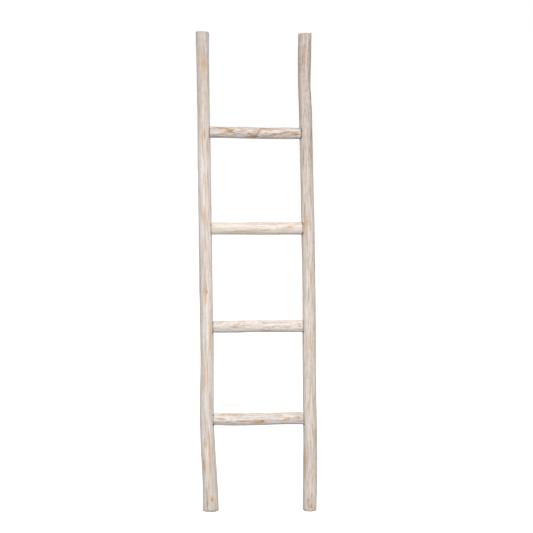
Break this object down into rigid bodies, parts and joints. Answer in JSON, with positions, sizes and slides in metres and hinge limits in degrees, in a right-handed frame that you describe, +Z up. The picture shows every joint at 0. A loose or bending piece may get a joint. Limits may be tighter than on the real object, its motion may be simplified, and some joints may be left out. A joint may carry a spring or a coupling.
{
  "type": "blanket ladder",
  "caption": "Whitewashed ladder of natural wooden poles that leans on a wall and holds folded quilts and blankets over its round rungs.",
  "frame": {"origin": "on the floor, in the middle of the ladder's outline", "axes": "+Z up the ladder, +X from the left rail to the right rail, and the front faces -Y"},
  "size_m": [0.383, 0.052, 1.524],
  "materials": {
    "rail_wood": "whitewash rubbed through along the grain, matt",
    "rung_wood": "whitewash rubbed through along the grain, matt",
    "plug_wood": "whitewashed, matt",
    "screw_steel": "zinc plated"
  },
  "bodies": {
    "root": {"left_rail": "rail_wood", "right_rail": "rail_wood", "rung_1": "rung_wood", "rung_2": "rung_wood", "rung_3": "rung_wood", "rung_4": "rung_wood", "left_screw_rung_1": "screw_steel", "left_screw_rung_2": "screw_steel", "left_screw_rung_3": "screw_steel", "left_screw_rung_4": "screw_steel", "right_screw_rung_1": "screw_steel", "right_screw_rung_2": "screw_steel", "right_screw_rung_3": "screw_steel", "right_screw_rung_4": "screw_steel", "left_plug_rung_1": "plug_wood", "left_plug_rung_2": "plug_wood", "left_plug_rung_3": "plug_wood", "left_plug_rung_4": "plug_wood", "right_plug_rung_1": "plug_wood", "right_plug_rung_2": "plug_wood", "right_plug_rung_3": "plug_wood", "right_plug_rung_4": "plug_wood"}
  },
  "joints": []
}
